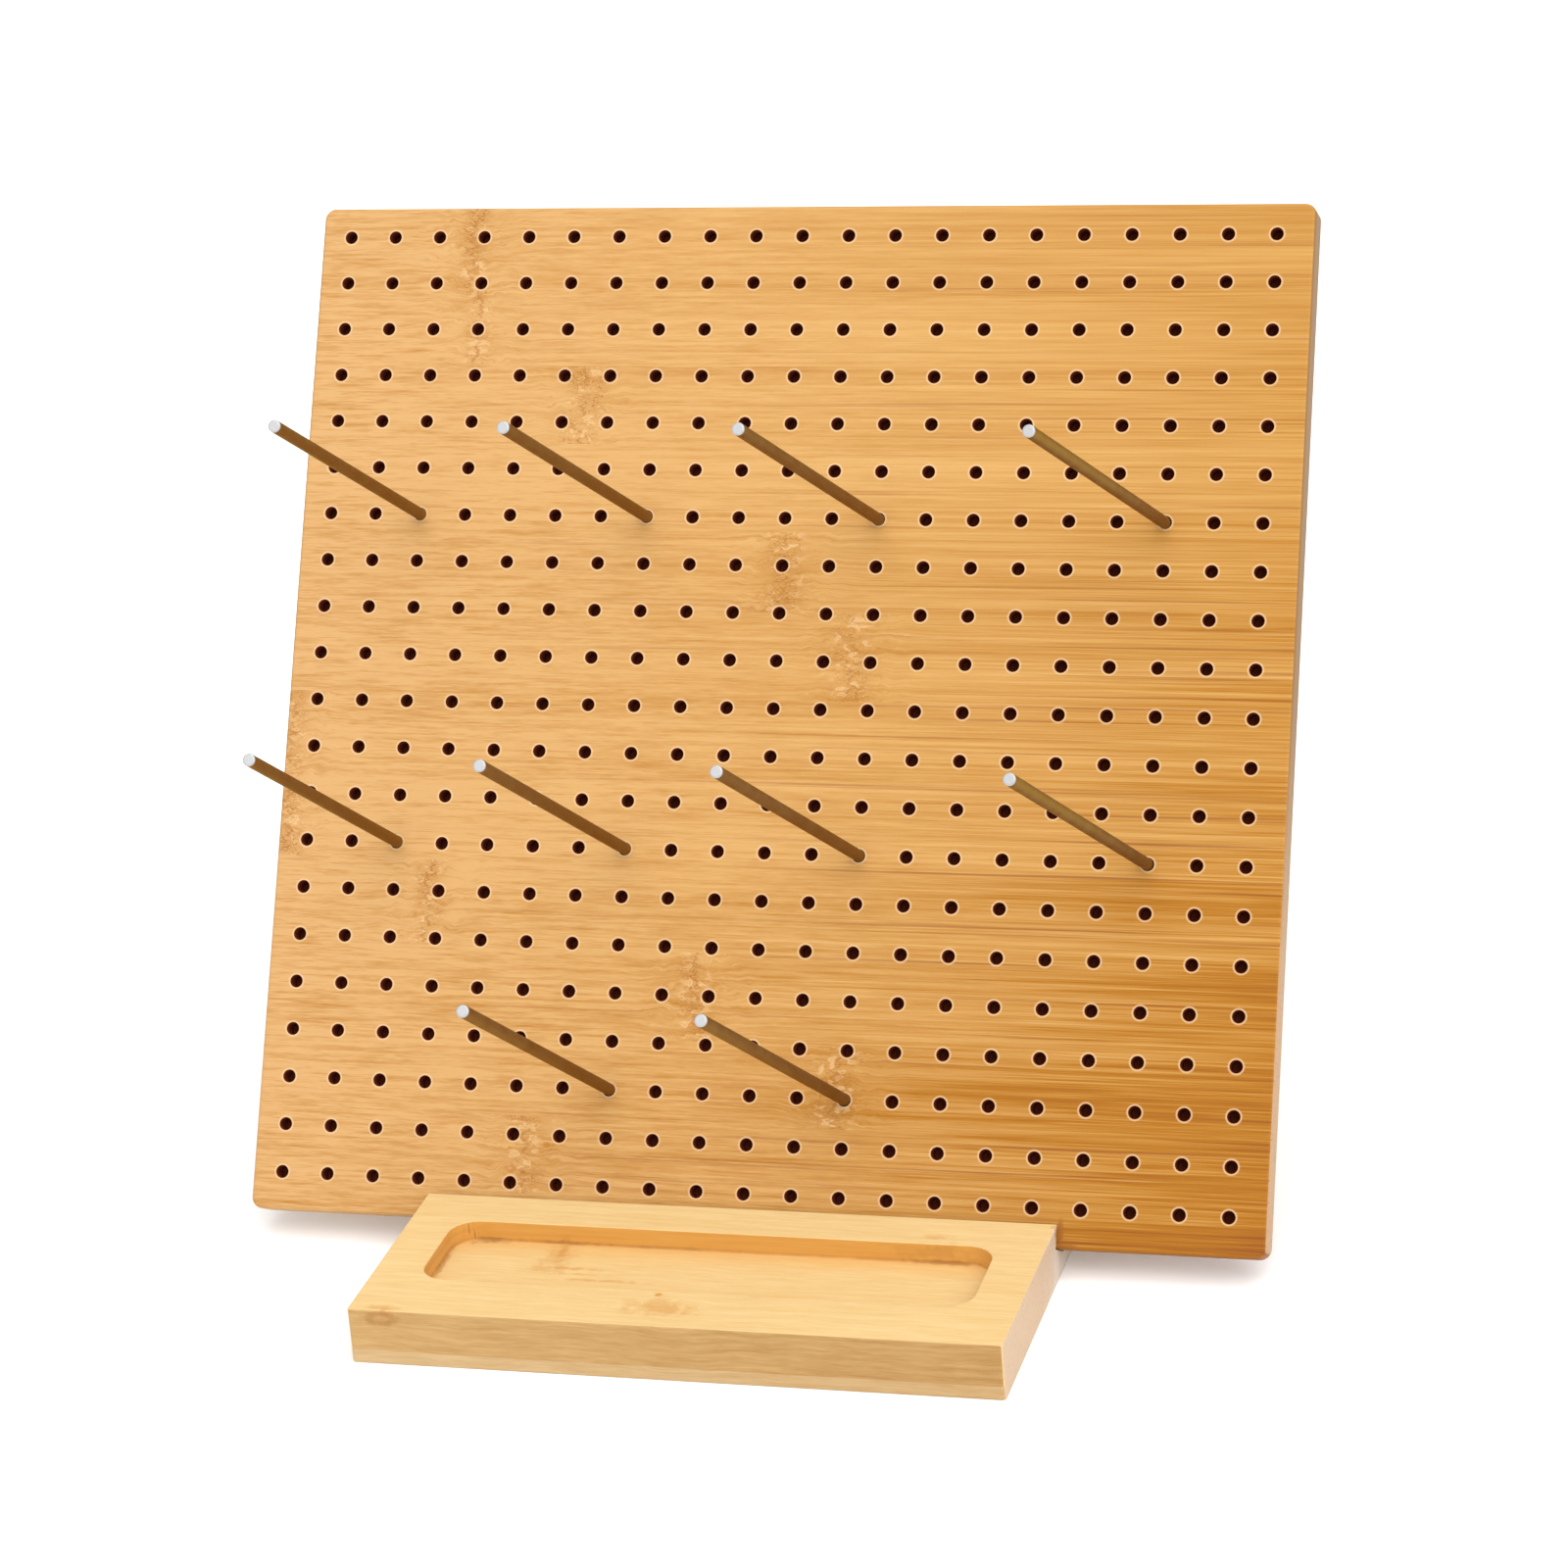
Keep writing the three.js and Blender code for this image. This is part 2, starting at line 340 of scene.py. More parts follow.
# A stalk ring, where the bamboo stalk had a joint: a ragged, broken crease across the strip, with
# pale and dark flecks beside it, fibres that waver round it and browner patches. Its steps are
# per millimetre too, and its other lengths are in millimetres, but the crease's swing and the
# reach of the flecks and of the patches are in half breadths of the ring.
BEND_STEPS = (0.0, 0.0, 0.09)
BEND_SWING = 9.0
CREASE_STEPS = (0.0, 0.0, 0.45)
CREASE_SWING = 2.7
CREASE_GAP_STEPS = (0.0, 0.0, 0.30)
CREASE_GAP_LEVELS = (0.38, 0.50)
CREASE_EDGES = (0.15, 0.75)
WAVER_STEPS = (0.10, 0.1, 0.20)
WAVER_SWING = 9.0
WAVER_REACH = (3.0, 24.0)
FLECK_STEPS = (0.27, 0.5, 0.58)
FLECK_REACH = (0.45, 1.25)
PALE_FLECK_LEVELS = (0.53, 0.62)
CONTOUR_COUNT = 8.0
CONTOUR_EDGES = (0.05, 0.20)
PATCH_STEPS = (0.07, 0.1, 0.14)
PATCH_LEVELS = (0.40, 0.60)
PATCH_START = 2.0
PATCH_REACH = 2.0
# Between two levels of the patches' noise, the pale flecks fade and the dark ones grow, like this.
PALE_FLECK_FADE = (0.42, 0.60, 1.0, 0.45)
DARK_FLECK_FADE = (0.40, 0.58, 0.40, 1.0)
ring, ring_in, ring_end = new_group(
    "stalk_ring",
    "ShaderNodeTree",
    [("Place", "Vector", None), ("Ring", "Float", 0.0), ("Breadth", "Float", 0.0)],
    [
        ("Wander", "Float", None),
        ("Crease", "Float", None),
        ("Pale Fleck", "Float", None),
        ("Dark Fleck", "Float", None),
        ("Brown Patch", "Float", None),
    ],
)
axes = in_millimetres(ring, ring_in["Place"])
ring_place = calculate(ring, "MULTIPLY", ring_in["Ring"], MILLIMETRES)
half_breadth = calculate(ring, "MULTIPLY", ring_in["Breadth"], MILLIMETRES)
bend = stretched_noise(ring, axes, BEND_STEPS, detail=1.0)
middle = calculate(ring, "ADD", swing(ring, bend, BEND_SWING), ring_place)
middle_away = calculate(ring, "ABSOLUTE", calculate(ring, "SUBTRACT", axes["X"], middle))
waver = stretched_noise(ring, axes, WAVER_STEPS)
wander = calculate(ring, "MULTIPLY", swing(ring, waver, WAVER_SWING),
                   ramp_between(ring, middle_away, *WAVER_REACH, 1.0, 0.0))
jag = stretched_noise(ring, axes, CREASE_STEPS)
zigzag = calculate(ring, "MULTIPLY_ADD", swing(ring, jag, CREASE_SWING), half_breadth, middle)
crease_away = calculate(ring, "ABSOLUTE", calculate(ring, "SUBTRACT", axes["X"], zigzag))
gaps = stretched_noise(ring, axes, CREASE_GAP_STEPS, detail=2.0)
crease = calculate(ring, "MULTIPLY", ramp_between(ring, crease_away, *CREASE_EDGES, 1.0, 0.0),
                   ramp_between(ring, gaps, *CREASE_GAP_LEVELS))
fleck_edges = [calculate(ring, "MULTIPLY", half_breadth, share) for share in FLECK_REACH]
flecked = ramp_between(ring, middle_away, *fleck_edges, 1.0, 0.0)
speckle = stretched_noise(ring, axes, FLECK_STEPS, detail=1.0, roughness=0.6)
# Where the ring is browner it has more dark flecks and fewer pale ones.
cloud = stretched_noise(ring, axes, PATCH_STEPS, detail=2.0)
patch_edge = calculate(ring, "MULTIPLY", half_breadth, PATCH_REACH)
brown_patch = calculate(ring, "MULTIPLY", ramp_between(ring, cloud, *PATCH_LEVELS),
                        ramp_between(ring, middle_away, PATCH_START, patch_edge, 1.0, 0.0))
pale_fleck = calculate(ring, "MULTIPLY", flecked,
                       ramp_between(ring, speckle, *PALE_FLECK_LEVELS))
pale_fleck = calculate(ring, "MULTIPLY", pale_fleck, ramp_between(ring, cloud, *PALE_FLECK_FADE))
# The dark flecks run along the contour lines of the pale ones' noise.
contours = calculate(ring, "FRACT", calculate(ring, "MULTIPLY", speckle, CONTOUR_COUNT))
contour_away = calculate(ring, "ABSOLUTE", calculate(ring, "SUBTRACT", contours, 0.5))
dark_fleck = calculate(ring, "MULTIPLY", flecked,
                       ramp_between(ring, contour_away, *CONTOUR_EDGES, 1.0, 0.0))
dark_fleck = calculate(ring, "MULTIPLY", dark_fleck, ramp_between(ring, cloud, *DARK_FLECK_FADE))
finish_group(ring, ring_end, Wander=wander, Crease=crease, Pale_Fleck=pale_fleck,
             Dark_Fleck=dark_fleck, Brown_Patch=brown_patch)

# The cut ends of the fibres: a fine crowd of dots, clearer in some places than in others. These
# scales are in features per metre.
DOT_SCALE = 1100.0
DOT_EDGES = (0.45, 0.15)
DOT_STRENGTH = 0.55
MOTTLE_SCALE = 260.0
MOTTLE_FADE = (0.35, 0.65, 0.3, 1.0)
end_grain, end_in, end_end = new_group(
    "end_grain",
    "ShaderNodeTree",
    [("Place", "Vector", None), ("Face", "Color", None), ("Dot", "Color", None)],
    [("Color", "Color", None)],
)
dots = add_node(end_grain, "ShaderNodeTexVoronoi", {"Vector": end_in["Place"], "Scale": DOT_SCALE})
dot_share = ramp_between(end_grain, dots.outputs["Distance"], *DOT_EDGES, 0.0, DOT_STRENGTH)
mottle = add_node(end_grain, "ShaderNodeTexNoise",
                  {"Vector": end_in["Place"], "Scale": MOTTLE_SCALE, "Detail": 3.0})
dot_share = calculate(end_grain, "MULTIPLY", dot_share,
                      ramp_between(end_grain, mottle.outputs["Fac"], *MOTTLE_FADE))
colour = mix_colours(end_grain, dot_share, end_in["Face"], end_in["Dot"])
finish_group(end_grain, end_end, Color=colour)


def from_place(tree, axes, place, reach):
    """How far each spot lies from a place, as a share of a reach along each axis."""
    sides = []
    for axis, centre, side in zip("XYZ", place, reach):
        share = calculate(tree, "MULTIPLY_ADD", axes[axis], 1 / side, -centre / side)
        sides.append(calculate(tree, "POWER", share, 2.0))
    total = calculate(tree, "ADD", calculate(tree, "ADD", sides[0], sides[1]), sides[2])
    return calculate(tree, "SQRT", total)


def new_material(name):
    """A material and its tree, with the shader that every finish here ends in."""
    material = bpy.data.materials.new(name)
    material.use_nodes = True
    return material, material.node_tree, material.node_tree.nodes["Principled BSDF"]


board_middle = sum(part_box("pin_board"), Vector()) / 2
board_place = Matrix.Translation(board_middle) @ Matrix.Rotation(-BOARD_LEAN, 4, "X")

board_bamboo, tree, shader = new_material("board_bamboo")
spot = add_node(tree, "ShaderNodeMapping", {
    "Vector": tree.nodes.new("ShaderNodeTexCoord").outputs["Object"],
    "Location": board_middle,
    "Rotation": (-BOARD_LEAN, 0, 0),
}, vector_type="TEXTURE").outputs[0]
axes = add_node(tree, "ShaderNodeSeparateXYZ", {0: spot}).outputs
# Each strip's number, and its ring's place and breadth, come from its height on the board.
low_share = calculate(tree, "MULTIPLY_ADD", axes["Z"], -1 / BOARD_HEIGHT, 0.5)
strip_ramp = add_node(tree, "ShaderNodeValToRGB", {"Fac": low_share})
strip_ramp.color_ramp.interpolation = "CONSTANT"
elements = strip_ramp.color_ramp.elements
strip_top = 0.0
for number, (height, ring_x, ring_half) in enumerate(STRIPS):
    element = elements[0] if number == 0 else elements.new(strip_top / BOARD_HEIGHT)
    ring_x = RING_SPAN / 2 if ring_x is None else ring_x
    element.color = (ring_x / RING_SPAN + 0.5, number / len(STRIPS), ring_half, 1)
    strip_top += height
# The last element is one that the ramp came with.
elements.remove(elements[-1])
strip_facts = add_node(tree, "ShaderNodeSeparateColor", {0: strip_ramp.outputs["Color"]}).outputs
rings = use_group(tree, ring, {
    "Place": spot,
    "Ring": calculate(tree, "MULTIPLY_ADD", strip_facts["Red"], RING_SPAN, -RING_SPAN / 2),
    "Breadth": strip_facts["Blue"],
})
# The panel darkens towards its lower right corner, where its grain also shows more.
right_share = calculate(tree, "MULTIPLY_ADD", axes["X"], 1 / BOARD_WIDTH, 0.5)
corner_share = calculate(tree, "MULTIPLY", right_share, low_share)
tone = calculate(tree, "MULTIPLY_ADD", low_share, TONE_DOWN[0], TONE_START)
for share, amount in (
    (right_share, TONE_RIGHT),
    (low_share, TONE_DOWN[1]),
    (corner_share, TONE_CORNER),
):
    square = calculate(tree, "POWER", share, 2.0)
    tone = calculate(tree, "MULTIPLY_ADD", square, amount, tone)
fibres = use_group(tree, grain, {
    "Place": spot,
    "Strip": strip_facts["Green"],
    "Wander": rings["Wander"],
    "Depth": tone,
    "Contrast": calculate(tree, "MULTIPLY_ADD", corner_share, CONTRAST_CORNER, CONTRAST_START),
    "Straightness": calculate(tree, "MULTIPLY_ADD", right_share, STRAIGHTNESS_RIGHT,
                              STRAIGHTNESS_START, clamp=True),
    "Pale": mix_colours(tree, right_share, BOARD_PALE, BOARD_GOLD),
    "Deep": BOARD_DEEP,
    "Vein": BOARD_VEIN,
})
wood = fibres["Color"]
for mark, amount, tint in (
    ("Brown Patch", 0.30, BOARD_DEEP),
    ("Pale Fleck", 0.66, BOARD_FLECK),
    ("Dark Fleck", 0.66, BOARD_STREAK),
    ("Crease", 0.45, BOARD_STREAK),
):
    wood = mix_colours(tree, calculate(tree, "MULTIPLY", rings[mark], amount), wood, tint)
# Painted shadow: a brown patch on the face at the bottom, beside the base's right end, where the
# base shades the board.
for shadow_place, shadow_reach, amount in BOARD_PAINTED_SHADOWS:
    away = from_place(tree, axes, shadow_place, shadow_reach)
    share = ramp_between(tree, away, *BOARD_SHADOW_EDGES, 0.0, amount)
    wood = mix_colours(tree, share, wood, BOARD_STREAK)
# The pale rim is a ring round the nearest hole.
from_hole = []
for axis, centre in (("X", GRID_PLACE[0]), ("Z", GRID_PLACE[2])):
    cells = calculate(tree, "MULTIPLY_ADD", axes[axis], 1 / GRID_PITCH, 0.5 - centre / GRID_PITCH)
    cell = calculate(tree, "SUBTRACT", calculate(tree, "FRACT", cells), 0.5)
    from_hole.append(calculate(tree, "MULTIPLY", cell, GRID_PITCH))
squares = [calculate(tree, "POWER", side, 2.0) for side in from_hole]
hole_distance = calculate(tree, "SQRT", calculate(tree, "ADD", *squares))
rim_edge = HOLE_RADIUS + HOLE_MOUTH_ROUNDING + RIM_WIDTH
rim = ramp_between(tree, hole_distance, rim_edge - RIM_SOFTNESS, rim_edge + RIM_SOFTNESS, 1.0, 0.0)
face_levels = [-BOARD_THICKNESS / 2 + depth for depth in BOARD_TURN]
on_face = ramp_between(tree, axes["Y"], *face_levels, 1.0, 0.0)
rim = calculate(tree, "MULTIPLY", rim, on_face)
wood = mix_colours(tree, calculate(tree, "MULTIPLY", rim, RIM_STRENGTH), wood, RIM_COLOUR)
# The left and right edges show the cut ends of the fibres.
board_end = mix_colours(tree, ramp_between(tree, low_share, *BOARD_END_FADE), BOARD_END_HIGH,
                        BOARD_END_LOW)
cut_ends = use_group(tree, end_grain, {"Place": spot, "Face": board_end, "Dot": BOARD_END_HIGH})
end_levels = [BOARD_WIDTH / 2 - BOARD_ARRIS_RADIUS + depth for depth in BOARD_TURN]
at_end = ramp_between(tree, calculate(tree, "ABSOLUTE", axes["X"]), *end_levels)
wood = mix_colours(tree, at_end, wood, cut_ends["Color"])
tree.links.new(wood, shader.inputs["Base Color"])
shader.inputs["Roughness"].default_value = 0.55
shader.inputs["Specular IOR Level"].default_value = 0.23
bump_height = calculate(tree, "MULTIPLY_ADD", rings["Crease"], CREASE_SINK, fibres["Height"])
bump = add_node(tree, "ShaderNodeBump", {
    "Height": bump_height,
    "Strength": 0.15,
    "Distance": FIBRE_RISE,
})
tree.links.new(bump.outputs[0], shader.inputs["Normal"])

drilled_bore, tree, shader = new_material("drilled_bore")
spot = tree.nodes.new("ShaderNodeTexCoord").outputs["Object"]
scorch = add_node(tree, "ShaderNodeTexNoise",
                  {"Vector": spot, "Scale": CHAR_SCALE, "Detail": 3.0})
char = mix_colours(tree, scorch.outputs["Fac"], BORE_COLOUR, BORE_CHAR)
tree.links.new(char, shader.inputs["Base Color"])
shader.inputs["Roughness"].default_value = 0.85
shader.inputs["Specular IOR Level"].default_value = 0.25


def rounded_rectangle(left, right, low, high, radius, steps):
    """The outline of a rectangle with four round corners, anticlockwise, for any inset."""

    def outline(inset):
        points = []
        for centre_x, centre_y, start in (
            (right - radius, low + radius, -90),
            (right - radius, high - radius, 0),
            (left + radius, high - radius, 90),
            (left + radius, low + radius, 180),
        ):
            for step in range(steps + 1):
                turn = math.radians(start + 90 * step / steps)
                reach = radius - inset
                points.append((
                    centre_x + reach * math.cos(turn),
                    centre_y + reach * math.sin(turn),
                ))
        return points

    return outline


def rounded_edge(level, radius, steps, upward):
    """Levels and insets of an arris that is rounded off towards a face at the given level."""
    rings = []
    for step in range(steps + 1):
        turn = math.radians(90 * step / steps)
        drop = radius * (1 - math.sin(turn))
        rings.append((level - drop if upward else level + drop, radius * (1 - math.cos(turn))))
    return rings if upward else rings[::-1]


def drawn_block(outline, rings):
    """A closed mesh drawn through rings of an outline, each at a level along Z and an inset."""
    shape = bmesh.new()
    loops = [[shape.verts.new((x, y, level)) for x, y in outline(inset)] for level, inset in rings]
    for lower, upper in zip(loops, loops[1:]):
        for index in range(len(lower)):
            after = (index + 1) % len(lower)
            shape.faces.new((lower[index], lower[after], upper[after], upper[index]))
    shape.faces.new(loops[0][::-1])
    shape.faces.new(loops[-1])
    mesh = bpy.data.meshes.new("block")
    shape.to_mesh(mesh)
    shape.free()
    return mesh


def solid_piece(name, mesh, material):
    """An object that holds a mesh, with one material."""
    piece = bpy.data.objects.new(name, mesh)
    mesh.materials.append(material)
    bpy.context.collection.objects.link(piece)
    return piece


# An edge is crisp from this angle on. It also stays sharp where one face is this many times
# broader than the other, unless the two are all but flat.
CRISP_ANGLE = math.radians(35)
FLAT_ANGLE = math.radians(2)
BROAD_SHARE = 12


def settle(piece, place=None):
    """Turns the evaluated piece into a plain mesh in its place. Round surfaces are shaded smooth,
    while crisp edges, and those between a narrow face and a broad flat one, stay sharp."""
    depsgraph = bpy.context.evaluated_depsgraph_get()
    mesh = bpy.data.meshes.new_from_object(piece.evaluated_get(depsgraph))
    piece.modifiers.clear()
    piece.data = mesh
    if place is not None:
        mesh.transform(place)
    shape = bmesh.new()
    shape.from_mesh(mesh)
    for face in shape.faces:
        face.smooth = True
    for edge in shape.edges:
        small, large = sorted(face.calc_area() for face in edge.link_faces)
        angle = edge.calc_face_angle(0)
        between = angle > FLAT_ANGLE and large > BROAD_SHARE * small
        edge.smooth = angle < CRISP_ANGLE and not between
    shape.to_mesh(mesh)
    shape.free()
    mesh.name = piece.name
    return piece


def turned_body(tree, rings, sides):
    """Nodes for a closed body of revolution along Y, through rings of a level and a radius."""
    number = tree.nodes.new("GeometryNodeInputIndex").outputs[0]
    chosen = []
    for values in zip(*rings):
        switch = add_node(tree, "GeometryNodeIndexSwitch", data_type="FLOAT")
        # The switch comes with two items.
        for _ in range(len(rings) - 2):
            switch.index_switch_items.new()
        tree.links.new(number, switch.inputs["Index"])
        for item, value in enumerate(values):
            plug(tree, switch.inputs[item + 1], value)
        chosen.append(switch.outputs[0])
    level, radius = chosen
    axis_line = add_node(tree, "GeometryNodeMeshLine", {"Count": len(rings)})
    axis_line = add_node(tree, "GeometryNodeSetPosition", {
        "Geometry": axis_line.outputs[0],
        "Position": add_node(tree, "ShaderNodeCombineXYZ", {"Y": level}).outputs[0],
    })
    axis_line = add_node(tree, "GeometryNodeMeshToCurve", {"Mesh": axis_line.outputs[0]})
    circle = add_node(tree, "GeometryNodeCurvePrimitiveCircle", {
        "Resolution": sides,
        "Radius": 1.0,
    })
    body = add_node(tree, "GeometryNodeCurveToMesh", {
        "Curve": axis_line.outputs[0],
        "Profile Curve": circle.outputs[0],
        "Scale": radius,
        "Fill Caps": True,
    })
    return body.outputs[0]


# The drill grid: one pointed drill body is set at each place of the grid and cut from the panel.
drilling, drilling_in, drilling_end = new_group(
    "drill_grid",
    "GeometryNodeTree",
    [
        ("Panel", "Geometry", None),
        ("Count", "Int", None),
        ("Pitch", "Float", None),
        ("Grid Place", "Vector", None),
        ("Hole Radius", "Float", None),
        ("Hole Depth", "Float", None),
        ("Point Depth", "Float", None),
        ("Mouth Rounding", "Float", None),
        ("Sides", "Int", None),
        ("Bore", "Material", None),
    ],
    [("Drilled", "Geometry", None)],
)
span = calculate(drilling, "MULTIPLY", calculate(drilling, "SUBTRACT", drilling_in["Count"], 1.0),
                 drilling_in["Pitch"])
grid = add_node(drilling, "GeometryNodeMeshGrid", {
    "Size X": span,
    "Size Y": span,
    "Vertices X": drilling_in["Count"],
    "Vertices Y": drilling_in["Count"],
})
places = add_node(drilling, "GeometryNodeTransform", {
    "Geometry": grid.outputs["Mesh"],
    "Translation": drilling_in["Grid Place"],
    "Rotation": (math.radians(90), 0, 0),
})
# From above the face down to the point, the drill is a flare, a straight bore and a cone.
mouth = drilling_in["Mouth Rounding"]
mouth_radius = calculate(drilling, "ADD", drilling_in["Hole Radius"], mouth)
drill = turned_body(drilling, [
    (calculate(drilling, "MULTIPLY", mouth, -1.0), calculate(drilling, "ADD", mouth_radius, mouth)),
    (mouth, drilling_in["Hole Radius"]),
    (drilling_in["Hole Depth"], drilling_in["Hole Radius"]),
    (calculate(drilling, "ADD", drilling_in["Hole Depth"], drilling_in["Point Depth"]),
     DRILL_TIP_RADIUS),
], drilling_in["Sides"])
drill = add_node(drilling, "GeometryNodeStoreNamedAttribute", {
    "Geometry": drill,
    "Name": "drilled",
    "Value": True,
}, data_type="BOOLEAN", domain="FACE")
drills = add_node(drilling, "GeometryNodeInstanceOnPoints", {
    "Points": places.outputs[0],
    "Instance": drill.outputs[0],
})
drills = add_node(drilling, "GeometryNodeRealizeInstances", {"Geometry": drills.outputs[0]})
cut = add_node(drilling, "GeometryNodeMeshBoolean", {
    "Mesh 1": drilling_in["Panel"],
    "Mesh 2": drills.outputs[0],
}, operation="DIFFERENCE", solver="MANIFOLD")
drilled = add_node(drilling, "GeometryNodeInputNamedAttribute", {"Name": "drilled"},
                   data_type="BOOLEAN")
whole = add_node(drilling, "GeometryNodeRealizeInstances", {"Geometry": cut.outputs[0]})
coloured = add_node(drilling, "GeometryNodeSetMaterial", {
    "Geometry": whole.outputs[0],
    "Selection": drilled.outputs["Attribute"],
    "Material": drilling_in["Bore"],
})
finish_group(drilling, drilling_end, Drilled=coloured.outputs[0])


def set_inputs(modifier, values):
    """Sets a Geometry Nodes modifier's inputs, found by the identifiers of their names."""
    for item in modifier.node_group.interface.items_tree:
        if item.name in values:
            modifier[item.identifier] = values[item.name]


board_outline = rounded_rectangle(-BOARD_WIDTH / 2, BOARD_WIDTH / 2, -BOARD_HEIGHT / 2,
                                  BOARD_HEIGHT / 2, BOARD_CORNER_RADIUS, BOARD_CORNER_STEPS)
panel = drawn_block(board_outline, [
    *rounded_edge(-BOARD_THICKNESS / 2, BOARD_ARRIS_RADIUS, BOARD_ARRIS_STEPS, upward=False),
    *rounded_edge(BOARD_THICKNESS / 2, BOARD_ARRIS_RADIUS, BOARD_ARRIS_STEPS, upward=True),
])
panel.transform(Matrix.Rotation(math.radians(90), 4, "X"))
board = solid_piece("drilled_board", panel, board_bamboo)
drill_modifier = board.modifiers.new("drill_grid", "NODES")
drill_modifier.node_group = drilling
set_inputs(drill_modifier, {
    "Count": GRID_COUNT,
    "Pitch": GRID_PITCH,
    "Grid Place": GRID_PLACE,
    "Hole Radius": HOLE_RADIUS,
    "Hole Depth": HOLE_DEPTH,
    "Point Depth": HOLE_POINT_DEPTH,
    "Mouth Rounding": HOLE_MOUTH_ROUNDING,
    "Sides": HOLE_SIDES,
    "Bore": drilled_bore,
})
settle(board, board_place)
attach(board, "board")
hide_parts("pin_board")

# The base, upper ply
# A thick bamboo ply with a shallow pin tray routed into its front half and, behind that, a slot
# cut on the board's lean right through from end to end, which the board drops into.
LEDGE_LOW, LEDGE_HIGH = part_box("base_upper_ply")
PLY_CORNER_RADIUS = 0.0012
PLY_CORNER_STEPS = 6
PLY_ARRIS_RADIUS = 0.0004
PLY_ARRIS_STEPS = 3
# How far round the arris one finish gives way to another
PLY_TURN = (0.0001, 0.0002)
TRAY_LENGTH = 0.1585
TRAY_WIDTH = 0.036
TRAY_FRONT_RAIL = 0.0205
TRAY_DEPTH = 0.006
TRAY_CORNER_RADIUS = 0.008
TRAY_CORNER_STEPS = 10
TRAY_FLOOR_ROUNDING = 0.0005
TRAY_FLOOR_STEPS = 3
TRAY_RIM_ROUNDING = 0.00025
SLOT_CLEARANCE = 0.0003
SLOT_FRONT_ROOM = 0.0012
SLOT_CUT_HEIGHT = 0.030
CUT_OVERRUN = 0.004
TOP_PALE = (0.685, 0.500, 0.238, 1)
TOP_DEEP = (0.570, 0.348, 0.110, 1)
# The front and back edges are darker than the top partly by their edge grain's own colour and
# partly as painted shade, the top being lit more than the sides.
FRONT_PALE_AND_SHADE = (0.508, 0.316, 0.122, 1)
FRONT_DEEP_AND_SHADE = (0.354, 0.185, 0.048, 1)
# The tray walls' orange is partly their own colour and partly painted bounce light.
WALL_AND_BOUNCE_COLOUR = (0.655, 0.316, 0.050, 1)
WALL_DEEP = (0.540, 0.215, 0.022, 1)
SCORCH_COLOUR = (0.231, 0.085, 0.015, 1)
END_COLOUR = (0.570, 0.412, 0.270, 1)
END_DOT = (0.391, 0.258, 0.154, 1)
# Painted light: a paler colour laid on the ends round the slot, against the board's shade.
END_PAINTED_LIGHT = (0.640, 0.570, 0.490, 1)
STAIN_COLOUR = (0.500, 0.210, 0.030, 1)
KNOT_BROWN = (0.310, 0.130, 0.022, 1)
BASE_STRIP_WIDTH = 0.026
BASE_WAVER_SCALE = 45.0
BASE_WAVER_SWING = 4.0
# The front's wood deepens to the right, by this much a metre from the tone at its middle.
FRONT_TONE = (2.2, 0.50)
# Painted light: the ends are painted paler, against the board's shade near the slot, within about
# this far of the middle of their length, and less near the top.
PAINTED_LIGHT_REACH = (0.038, 0.012)
PAINTED_LIGHT_FADE = (0.014, 0.006, 0.45, 1.0)
PAINTED_LIGHT_SCALE = 220.0
PAINTED_LIGHT_RAGGEDNESS = 0.024
PAINTED_LIGHT_STRENGTH = 0.85
# Where the tray's walls take over: below the top, inside their outline and outside it.
TRAY_TURN = (0.0001, 0.0003)
WALL_INSIDE = (0.0006, 0.0002)
WALL_OUTSIDE = (0.0006, 0.0004)
WALL_STRENGTH = 0.75
WALL_STREAK_STEPS = (35.0, 35.0, 900.0)
WALL_STREAK_LEVELS = (0.35, 0.70)
WALL_STREAK_STRENGTH = 0.8
# Painted bounce light: the tray's floor turns oranger over this width in front of the back wall.
FLOOR_BOUNCE_WIDTH = 0.012
FLOOR_BOUNCE_STRENGTH = (0.05, 0.40)
